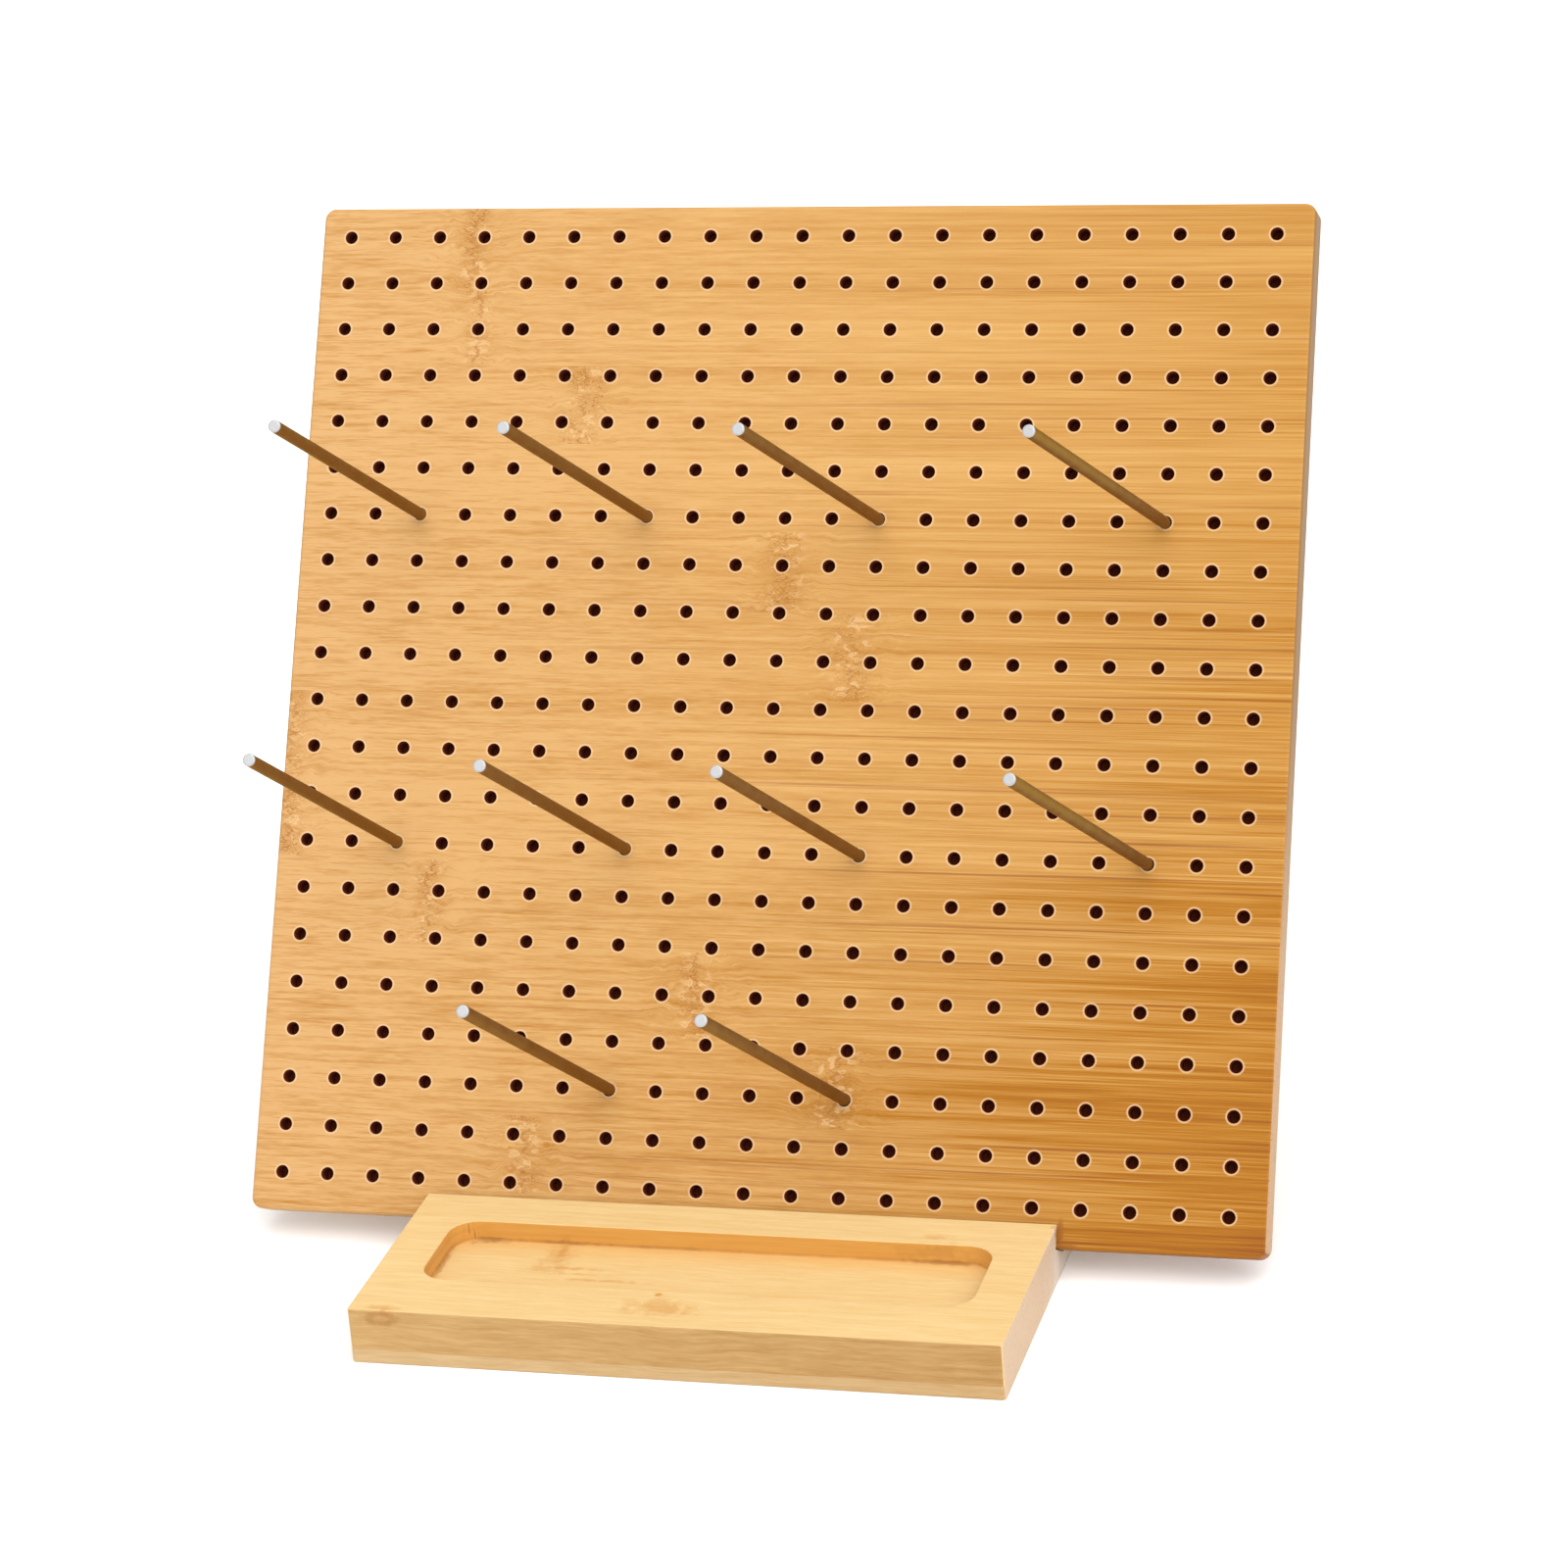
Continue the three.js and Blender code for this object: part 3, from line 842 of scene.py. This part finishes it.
# Brown marks: stains round old stalk joints, darker lines along the foot of the tray's back and
# left walls, and a brown patch on the right end by the slot. For each: where it lies, how far it
# reaches each way, how hollow it is, how strong, and its colour.
STAINS = [
    ((-0.0060, -0.0640, 0.0164), (0.0120, 0.0060, 0.0030), 0.0, 0.50, STAIN_COLOUR),
    ((-0.0082, -0.0567, 0.0164), (0.0014, 0.0012, 0.0030), 0.0, 0.80, STAIN_COLOUR),
    ((-0.0468, -0.0255, 0.0104), (0.0060, 0.0080, 0.0040), 0.0, 0.45, STAIN_COLOUR),
    ((-0.0465, -0.0235, 0.0104), (0.0014, 0.0080, 0.0040), 0.0, 0.45, STAIN_COLOUR),
    ((-0.0480, -0.0345, 0.0104), (0.0090, 0.0030, 0.0020), 0.0, 0.30, STAIN_COLOUR),
    ((-0.0408, -0.0331, 0.0104), (0.0140, 0.0010, 0.0020), 0.0, 0.50, STAIN_COLOUR),
    ((-0.0360, -0.0362, 0.0104), (0.0100, 0.0008, 0.0020), 0.0, 0.40, STAIN_COLOUR),
    ((-0.0307, -0.0395, 0.0104), (0.0180, 0.0010, 0.0020), 0.0, 0.50, STAIN_COLOUR),
    # Darker lines along the foot of the tray's back and left walls.
    ((-0.0470, -0.0184, 0.0107), (0.0150, 0.0009, 0.0010), 0.0, 0.55, KNOT_BROWN),
    ((-0.0150, -0.0184, 0.0107), (0.0200, 0.0009, 0.0009), 0.0, 0.30, KNOT_BROWN),
    ((-0.0700, -0.0192, 0.0107), (0.0070, 0.0020, 0.0012), 0.0, 0.65, KNOT_BROWN),
    ((-0.0786, -0.0360, 0.0107), (0.0010, 0.0150, 0.0011), 0.0, 0.50, KNOT_BROWN),
    ((0.0650, -0.0186, 0.0107), (0.0150, 0.0012, 0.0012), 0.0, 0.60, KNOT_BROWN),
    # Stains round a stalk joint on the back wall and the top.
    ((0.0600, -0.0185, 0.0140), (0.0130, 0.0030, 0.0030), 0.0, 0.25, KNOT_BROWN),
    ((0.0618, -0.0145, 0.0164), (0.0060, 0.0018, 0.0030), 0.0, 0.40, STAIN_COLOUR),
    # A brown patch on the right end, by the slot.
    ((0.0930, -0.0052, 0.0142), (0.0030, 0.0022, 0.0026), 0.0, 0.85, KNOT_BROWN),
    # Stains round a stalk joint at the front left corner.
    ((-0.0827, -0.0729, 0.0164), (0.0055, 0.0018, 0.0020), 0.0, 0.50, STAIN_COLOUR),
    ((-0.0822, -0.0750, 0.0156), (0.0018, 0.0020, 0.0012), 0.0, 0.45, STAIN_COLOUR),
    ((-0.0830, -0.0750, 0.0138), (0.0072, 0.0020, 0.0026), 0.0, 0.35, KNOT_BROWN),
    ((-0.0830, -0.0750, 0.0142), (0.0064, 0.0030, 0.0024), 0.6, 0.45, KNOT_BROWN),
]
STAIN_SCALE = 400.0
STAIN_RAGGEDNESS = 1.7
STAIN_EDGES = (1.1, 0.1)
SCORCH_PLACE = (-0.0745, -0.0200, 0.0125)
SCORCH_REACH = (0.0035, 0.0035, 0.0060)
SCORCH_EDGES = (1.0, 0.3)
SCORCH_STEPS = (1400.0, 1400.0, 120.0)
SCORCH_LEVELS = (0.50, 0.60)
SCORCH_STRENGTH = 0.55
# Above the tray's floor, its walls are darker in patches up to this high.
WALL_FOOT = (0.0011, 0.0003)
WALL_FOOT_STEPS = (120.0, 120.0, 0.0)
WALL_FOOT_LEVELS = (0.30, 0.55)
WALL_FOOT_STRENGTH = (0.10, 0.35)


def ply_bamboo(name, face, edge, low, high):
    """Bamboo for a ply of the base: the long grain of its face and of its front and back edges,
    and the cut ends of its fibres at the left and the right."""
    material, tree, shader = new_material(name)
    spot = tree.nodes.new("ShaderNodeTexCoord").outputs["Object"]
    axes = add_node(tree, "ShaderNodeSeparateXYZ", {0: spot}).outputs
    # The grain group stacks its strips along Z, so the piece is laid over by a quarter turn.
    laid = add_node(tree, "ShaderNodeMapping", {
        "Vector": spot,
        "Rotation": (math.radians(90), 0, 0),
    }).outputs[0]
    strip = calculate(tree, "FLOOR", calculate(tree, "DIVIDE", axes["Y"], BASE_STRIP_WIDTH))
    waver = add_node(tree, "ShaderNodeTexNoise", {
        "Vector": spot,
        "Scale": BASE_WAVER_SCALE,
        "Detail": 2.0,
    })
    wander = swing(tree, waver.outputs["Fac"], BASE_WAVER_SWING)
    face_grain = use_group(tree, grain, {
        "Place": laid,
        "Strip": strip,
        "Wander": wander,
        "Depth": 0.28,
        "Contrast": 0.60,
        "Straightness": 0.15,
        "Pale": face[0],
        "Deep": face[1],
        "Vein": face[1],
    })
    edge_grain = use_group(tree, grain, {
        "Place": spot,
        "Strip": 3.0,
        "Wander": wander,
        "Depth": calculate(tree, "MULTIPLY_ADD", axes["X"], *FRONT_TONE),
        "Contrast": 1.05,
        "Straightness": 0.35,
        "Pale": edge[0],
        "Deep": edge[1],
        "Vein": edge[1],
    })
    middle_y = (low.y + high.y) / 2
    from_middle = calculate(tree, "ABSOLUTE", calculate(tree, "SUBTRACT", axes["Y"], middle_y))
    edge_levels = [(high.y - low.y) / 2 - PLY_ARRIS_RADIUS + depth for depth in PLY_TURN]
    at_edge = ramp_between(tree, from_middle, *edge_levels)
    wood = mix_colours(tree, at_edge, face_grain["Color"], edge_grain["Color"])
    # Painted light: the ends are painted paler round the slot, where the board shades them.
    cut_ends = use_group(tree, end_grain, {"Place": spot, "Face": END_COLOUR, "Dot": END_DOT})
    cloud = add_node(tree, "ShaderNodeTexNoise",
                     {"Vector": spot, "Scale": PAINTED_LIGHT_SCALE, "Detail": 3.0})
    ragged = calculate(tree, "MULTIPLY_ADD", cloud.outputs["Fac"], PAINTED_LIGHT_RAGGEDNESS,
                       calculate(tree, "ABSOLUTE", axes["Y"]))
    painted_light = calculate(tree, "MULTIPLY",
                       ramp_between(tree, ragged, *PAINTED_LIGHT_REACH, 0.0, PAINTED_LIGHT_STRENGTH),
                       ramp_between(tree, axes["Z"], *PAINTED_LIGHT_FADE))
    cut_colour = mix_colours(tree, painted_light, cut_ends["Color"], END_PAINTED_LIGHT)
    end_levels = [high.x - PLY_ARRIS_RADIUS + depth for depth in PLY_TURN]
    at_end = ramp_between(tree, calculate(tree, "ABSOLUTE", axes["X"]), *end_levels)
    shader.inputs["Roughness"].default_value = 0.6
    shader.inputs["Specular IOR Level"].default_value = 0.38
    bump = add_node(tree, "ShaderNodeBump", {
        "Height": face_grain["Height"],
        "Strength": 0.10,
        "Distance": FIBRE_RISE,
    })
    tree.links.new(bump.outputs[0], shader.inputs["Normal"])
    return material, tree, shader, spot, axes, mix_colours(tree, at_end, wood, cut_colour)


tray_front = LEDGE_LOW.y + TRAY_FRONT_RAIL
base_bamboo, tree, shader, spot, axes, wood = ply_bamboo(
    "base_bamboo", (TOP_PALE, TOP_DEEP), (FRONT_PALE_AND_SHADE, FRONT_DEEP_AND_SHADE), LEDGE_LOW, LEDGE_HIGH)
# The tray's walls lie within a hair of its outline and below the top. Cut across the fibres, they
# are oranger, partly by their own colour and partly as painted bounce light between them, and the
# floor is oranger along the back wall as painted bounce light from it.
tray_middle = (0.0, tray_front + TRAY_WIDTH / 2)
half_sides = (TRAY_LENGTH / 2 - TRAY_CORNER_RADIUS, TRAY_WIDTH / 2 - TRAY_CORNER_RADIUS)
corner_sides = []
for axis, centre, half in zip("XY", tray_middle, half_sides):
    side = calculate(tree, "ABSOLUTE", calculate(tree, "SUBTRACT", axes[axis], centre))
    side = calculate(tree, "MAXIMUM", calculate(tree, "SUBTRACT", side, half), 0.0)
    corner_sides.append(calculate(tree, "POWER", side, 2.0))
tray_distance = calculate(tree, "SQRT", calculate(tree, "ADD", *corner_sides))
insides = [TRAY_CORNER_RADIUS - depth for depth in WALL_INSIDE]
outsides = [TRAY_CORNER_RADIUS + depth for depth in WALL_OUTSIDE]
below_top = [LEDGE_HIGH.z - depth for depth in TRAY_TURN]
on_wall = ramp_between(tree, tray_distance, *insides)
in_tray = calculate(tree, "MULTIPLY", ramp_between(tree, axes["Z"], *below_top),
                    ramp_between(tree, tray_distance, *outsides))
wall_share = calculate(tree, "MULTIPLY", calculate(tree, "MULTIPLY", on_wall, in_tray),
                       WALL_STRENGTH)
wall_streak = stretched_noise(tree, axes, WALL_STREAK_STEPS)
wall_streak = ramp_between(tree, wall_streak, *WALL_STREAK_LEVELS, 0.0, WALL_STREAK_STRENGTH)
wall = mix_colours(tree, wall_streak, WALL_AND_BOUNCE_COLOUR, WALL_DEEP)
wood = mix_colours(tree, wall_share, wood, wall)
tray_back = tray_front + TRAY_WIDTH
# Painted bounce light on the tray's floor along the back wall.
fade = ramp_between(tree, axes["Y"], tray_back - FLOOR_BOUNCE_WIDTH, tray_back, *FLOOR_BOUNCE_STRENGTH)
wood = mix_colours(tree, calculate(tree, "MULTIPLY", fade, in_tray), wood, WALL_AND_BOUNCE_COLOUR)
ragged = add_node(tree, "ShaderNodeTexNoise",
                  {"Vector": spot, "Scale": STAIN_SCALE, "Detail": 3.0})
ragged = swing(tree, ragged.outputs["Fac"], STAIN_RAGGEDNESS)
for stain_place, stain_reach, hollow, amount, tint in STAINS:
    away = calculate(tree, "SUBTRACT", from_place(tree, axes, stain_place, stain_reach), hollow)
    away = calculate(tree, "DIVIDE", calculate(tree, "ABSOLUTE", away), 1 - hollow)
    away = calculate(tree, "ADD", away, ragged)
    wood = mix_colours(tree, ramp_between(tree, away, *STAIN_EDGES, 0.0, amount), wood, tint)
# The router scorched one corner of the tray.
scratch = stretched_noise(tree, axes, SCORCH_STEPS)
away = from_place(tree, axes, SCORCH_PLACE, SCORCH_REACH)
darkened = calculate(tree, "MULTIPLY", ramp_between(tree, away, *SCORCH_EDGES),
                     ramp_between(tree, scratch, *SCORCH_LEVELS, 0.0, SCORCH_STRENGTH))
# The walls are also darker in patches just above the tray's floor.
foot_levels = [LEDGE_HIGH.z - TRAY_DEPTH + rise for rise in WALL_FOOT]
at_foot = ramp_between(tree, axes["Z"], *foot_levels)
patchy = stretched_noise(tree, axes, WALL_FOOT_STEPS)
at_foot = calculate(tree, "MULTIPLY", calculate(tree, "MULTIPLY", at_foot, on_wall),
                    ramp_between(tree, patchy, *WALL_FOOT_LEVELS, *WALL_FOOT_STRENGTH))
darkened = calculate(tree, "MAXIMUM", darkened, at_foot)
wood = mix_colours(tree, calculate(tree, "MULTIPLY", darkened, in_tray), wood, SCORCH_COLOUR)
tree.links.new(wood, shader.inputs["Base Color"])

base_outline = rounded_rectangle(LEDGE_LOW.x, LEDGE_HIGH.x, LEDGE_LOW.y, LEDGE_HIGH.y,
                                 PLY_CORNER_RADIUS, PLY_CORNER_STEPS)
ledge = solid_piece("tray_base", drawn_block(base_outline, [
    (LEDGE_LOW.z, 0.0),
    *rounded_edge(LEDGE_HIGH.z, PLY_ARRIS_RADIUS, PLY_ARRIS_STEPS, upward=True),
]), base_bamboo)
tray_outline = rounded_rectangle(-TRAY_LENGTH / 2, TRAY_LENGTH / 2, tray_front, tray_back,
                                 TRAY_CORNER_RADIUS, TRAY_CORNER_STEPS)
tray_cutter = solid_piece("tray_cutter", drawn_block(tray_outline, [
    *rounded_edge(LEDGE_HIGH.z - TRAY_DEPTH, TRAY_FLOOR_ROUNDING, TRAY_FLOOR_STEPS, upward=False),
    (LEDGE_HIGH.z - TRAY_RIM_ROUNDING, 0.0),
    (LEDGE_HIGH.z, -TRAY_RIM_ROUNDING),
    (LEDGE_HIGH.z + CUT_OVERRUN, -TRAY_RIM_ROUNDING - CUT_OVERRUN),
]), base_bamboo)
# The board leans on the slot's back wall, so most of its room is in front of it.
slot_back = BOARD_THICKNESS / 2 + SLOT_CLEARANCE
slot_front = -BOARD_THICKNESS / 2 - SLOT_FRONT_ROOM
slot_reach = LEDGE_HIGH.x + CUT_OVERRUN
slot_floor = -BOARD_HEIGHT / 2 - SLOT_CLEARANCE
slot_outline = rounded_rectangle(-slot_reach, slot_reach, slot_front, slot_back, 0.0, 1)
slot_block = drawn_block(slot_outline, [(slot_floor, 0.0), (slot_floor + SLOT_CUT_HEIGHT, 0.0)])
slot_block.transform(board_place)
slot_cutter = solid_piece("slot_cutter", slot_block, base_bamboo)
for cutter in (tray_cutter, slot_cutter):
    carve = ledge.modifiers.new("carve", "BOOLEAN")
    carve.operation = "DIFFERENCE"
    carve.solver = "EXACT"
    carve.object = cutter
settle(ledge)
for cutter in (tray_cutter, slot_cutter):
    bpy.data.objects.remove(cutter)
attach(ledge, "base")
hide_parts("base_upper_ply")

# The base, lower ply
# A thin bamboo ply of the same outline, glued under the thick one. It closes the slot's underside
# and shows as a paler line along the foot of the base.
FOOT_LOW, FOOT_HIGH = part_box("base_lower_ply")
CORE_PALE = (0.535, 0.375, 0.190, 1)
CORE_DEEP = (0.428, 0.254, 0.094, 1)
core_bamboo, tree, shader, *_, wood = ply_bamboo(
    "base_core_bamboo", (CORE_PALE, CORE_DEEP), (CORE_PALE, CORE_DEEP), FOOT_LOW, FOOT_HIGH)
tree.links.new(wood, shader.inputs["Base Color"])
foot = solid_piece("base_foot", drawn_block(base_outline, [
    *rounded_edge(FOOT_LOW.z, PLY_ARRIS_RADIUS, PLY_ARRIS_STEPS, upward=False),
    (FOOT_HIGH.z, 0.0),
]), core_bamboo)
settle(foot)
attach(foot, "base")
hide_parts("base_lower_ply")

# The pins
# Ten plain rods of stainless steel, drawn to a dull shine, cut to length and lightly rounded at
# both ends, whose cut faces are brighter. The shafts' brown colour, and the brown tint of their
# glancing shine, are a painted reflection of the bamboo board. They stand loose in the holes, so
# each leans a little.
PIN_LENGTH = 0.150
PIN_RADIUS = 0.00175
PIN_END_RADIUS = 0.0004
PIN_SIDES = 32
PIN_END_STEPS = 3
# Painted reflection: the shaft's colours are brown where plain steel is grey, for the bamboo it
# reflects.
PAINTED_REFLECTION_STEEL_COLOUR = (0.330, 0.206, 0.074, 1)
PAINTED_REFLECTION_EDGE_COLOUR = (0.45, 0.31, 0.16, 1)
STEEL_ROUGHNESS = (0.46, 0.56)
CUT_STEEL_COLOUR = (0.440, 0.440, 0.445, 1)
CUT_STEEL_ROUGHNESS = (0.35, 0.50)
TOOL_MARK_LEVELS = (0.3, 0.7)


def worked_steel(name, colour, metallic, scale, detail, roughness):
    """Steel whose fine tool marks, of a scale and a detail, vary its gloss."""
    material, tree, shader = new_material(name)
    spot = tree.nodes.new("ShaderNodeTexCoord").outputs["Object"]
    marks = add_node(tree, "ShaderNodeTexNoise", {"Vector": spot, "Scale": scale, "Detail": detail})
    gloss = ramp_between(tree, marks.outputs["Fac"], *TOOL_MARK_LEVELS, *roughness)
    tree.links.new(gloss, shader.inputs["Roughness"])
    shader.inputs["Base Color"].default_value = colour
    shader.inputs["Metallic"].default_value = metallic
    return material, shader


# Painted reflection: the shaft's brown colour and brown edge tint stand in for the bamboo board
# that the steel reflects.
pin_steel, shader = worked_steel("pin_steel", PAINTED_REFLECTION_STEEL_COLOUR, 1.0, 260.0, 4.0, STEEL_ROUGHNESS)
shader.inputs["Specular Tint"].default_value = PAINTED_REFLECTION_EDGE_COLOUR
cut_steel, _ = worked_steel("cut_steel", CUT_STEEL_COLOUR, 0.6, 1500.0, 2.0, CUT_STEEL_ROUGHNESS)

# A rod about its middle along Y, rounded off at both ends.
rod_tree, rod_in, rod_end = new_group(
    "pin_rod",
    "GeometryNodeTree",
    [
        ("Geometry", "Geometry", None),
        ("Length", "Float", None),
        ("Radius", "Float", None),
        ("End Radius", "Float", None),
        ("Sides", "Int", None),
        ("Steel", "Material", None),
        ("Cut Steel", "Material", None),
    ],
    [("Rod", "Geometry", None)],
)
half_length = calculate(rod_tree, "MULTIPLY", rod_in["Length"], 0.5)
rod_rings = []
for step in range(PIN_END_STEPS + 1):
    turn = math.radians(90 * step / PIN_END_STEPS)
    rise = calculate(rod_tree, "MULTIPLY", rod_in["End Radius"], 1 - math.sin(turn))
    inset = calculate(rod_tree, "MULTIPLY", rod_in["End Radius"], 1 - math.cos(turn))
    level = calculate(rod_tree, "SUBTRACT", half_length, rise)
    rod_rings.append((level, calculate(rod_tree, "SUBTRACT", rod_in["Radius"], inset)))
near_rings = [(calculate(rod_tree, "MULTIPLY", level, -1.0), radius)
              for level, radius in reversed(rod_rings)]
rod_body = turned_body(rod_tree, near_rings + rod_rings, rod_in["Sides"])
rod_body = add_node(rod_tree, "GeometryNodeSetMaterial", {
    "Geometry": rod_body,
    "Material": rod_in["Steel"],
})
position = add_node(rod_tree, "ShaderNodeSeparateXYZ",
                    {0: rod_tree.nodes.new("GeometryNodeInputPosition").outputs[0]})
reach = calculate(rod_tree, "ABSOLUTE", position.outputs["Y"])
cap_level = calculate(rod_tree, "SUBTRACT", half_length, rod_in["End Radius"])
at_cap = calculate(rod_tree, "GREATER_THAN", reach, cap_level)
rod_body = add_node(rod_tree, "GeometryNodeSetMaterial", {
    "Geometry": add_node(rod_tree, "GeometryNodeRealizeInstances",
                         {"Geometry": rod_body.outputs[0]}).outputs[0],
    "Selection": at_cap,
    "Material": rod_in["Cut Steel"],
})
finish_group(rod_tree, rod_end, Rod=rod_body.outputs[0])

for joint in frame["joints"][1:]:
    pin_name = joint["child"]
    pin_middle = sum(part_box(pin_name), Vector()) / 2
    pin_turn = Vector(joint["axis"]).to_track_quat("Y", "Z").to_matrix().to_4x4()
    rod = bpy.data.objects.new(pin_name + "_rod", bpy.data.meshes.new(pin_name))
    bpy.context.collection.objects.link(rod)
    rod_modifier = rod.modifiers.new("pin_rod", "NODES")
    rod_modifier.node_group = rod_tree
    set_inputs(rod_modifier, {
        "Length": PIN_LENGTH,
        "Radius": PIN_RADIUS,
        "End Radius": PIN_END_RADIUS,
        "Sides": PIN_SIDES,
        "Steel": pin_steel,
        "Cut Steel": cut_steel,
    })
    settle(rod, Matrix.Translation(pin_middle) @ pin_turn)
    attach(rod, pin_name)
    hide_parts(pin_name)
